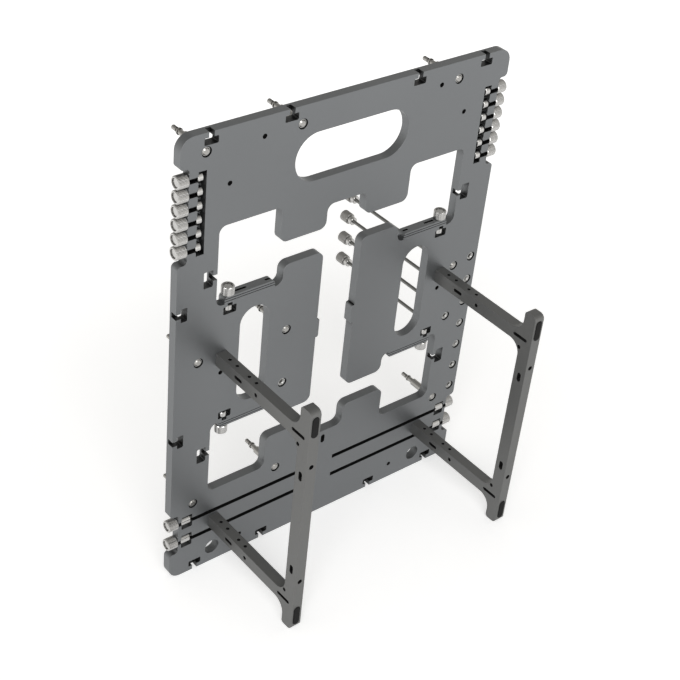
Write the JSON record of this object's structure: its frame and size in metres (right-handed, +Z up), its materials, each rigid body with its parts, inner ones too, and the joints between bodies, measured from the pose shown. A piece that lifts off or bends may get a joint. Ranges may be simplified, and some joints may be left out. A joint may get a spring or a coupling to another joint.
{
  "type": "open air test bench",
  "caption": "Flat dark metal plate that leans on two leg frames, with pins for a bare computer board, posts for expansion cards, a handle slot and screws stored along its sides",
  "frame": {"origin": "the middle of the plate's lower edge on the leg side, where the bench stands on the floor", "axes": "+Z is up, +Y points from the legs to the board side, and +X runs to the right for a viewer who faces the legs"},
  "size_m": [0.2714, 0.2618, 0.3552],
  "materials": {
    "plate": "dark grey anodised, satin",
    "leg": "dark grey anodised, satin",
    "bracket": "dark grey anodised, satin",
    "hardware": "bright, finely knurled",
    "pin": "bright",
    "insert": "plain, a little dull",
    "rod": "dark, threaded",
    "black_screw": "black, satin",
    "rubber": "matt black"
  },
  "bodies": {
    "root": {"base_plate": "plate", "board_inserts": "insert", "board_pin_1": "pin", "board_pin_2": "pin", "board_pin_3": "pin", "board_pin_4": "pin", "board_pin_5": "pin", "board_pin_6": "pin", "board_pin_7": "pin", "board_pin_8": "pin", "board_pin_9": "pin", "bracket_left_lower": "bracket", "bracket_left_upper": "bracket", "bracket_nuts": "hardware", "bracket_right_lower": "bracket", "bracket_right_upper": "bracket", "bracket_screw_left_lower": "hardware", "bracket_screw_left_upper": "hardware", "bracket_screw_right_lower": "hardware", "bracket_screw_right_upper": "hardware", "card_inserts": "insert", "card_post_1": "rod", "card_post_2": "rod", "card_post_3": "rod", "card_post_4": "rod", "card_post_knob_1": "hardware", "card_post_knob_2": "hardware", "card_post_knob_3": "hardware", "card_post_knob_4": "hardware", "card_post_nut_1": "hardware", "card_post_nut_2": "hardware", "card_post_nut_3": "hardware", "card_post_nut_4": "hardware", "foot_pad_left_lower": "rubber", "foot_pad_left_upper": "rubber", "foot_pad_right_lower": "rubber", "foot_pad_right_upper": "rubber", "leg_frame_left": "leg", "leg_frame_right": "leg", "leg_screws": "black_screw", "spare_nuts_left": "hardware", "spare_nuts_right": "hardware", "spare_post_knobs": "hardware", "spare_post_left_lower": "rod", "spare_post_left_upper": "rod", "spare_post_nuts": "hardware", "spare_post_right_lower": "rod", "spare_post_right_upper": "rod", "spare_screws_left": "hardware", "spare_screws_right": "hardware"}
  },
  "joints": []
}
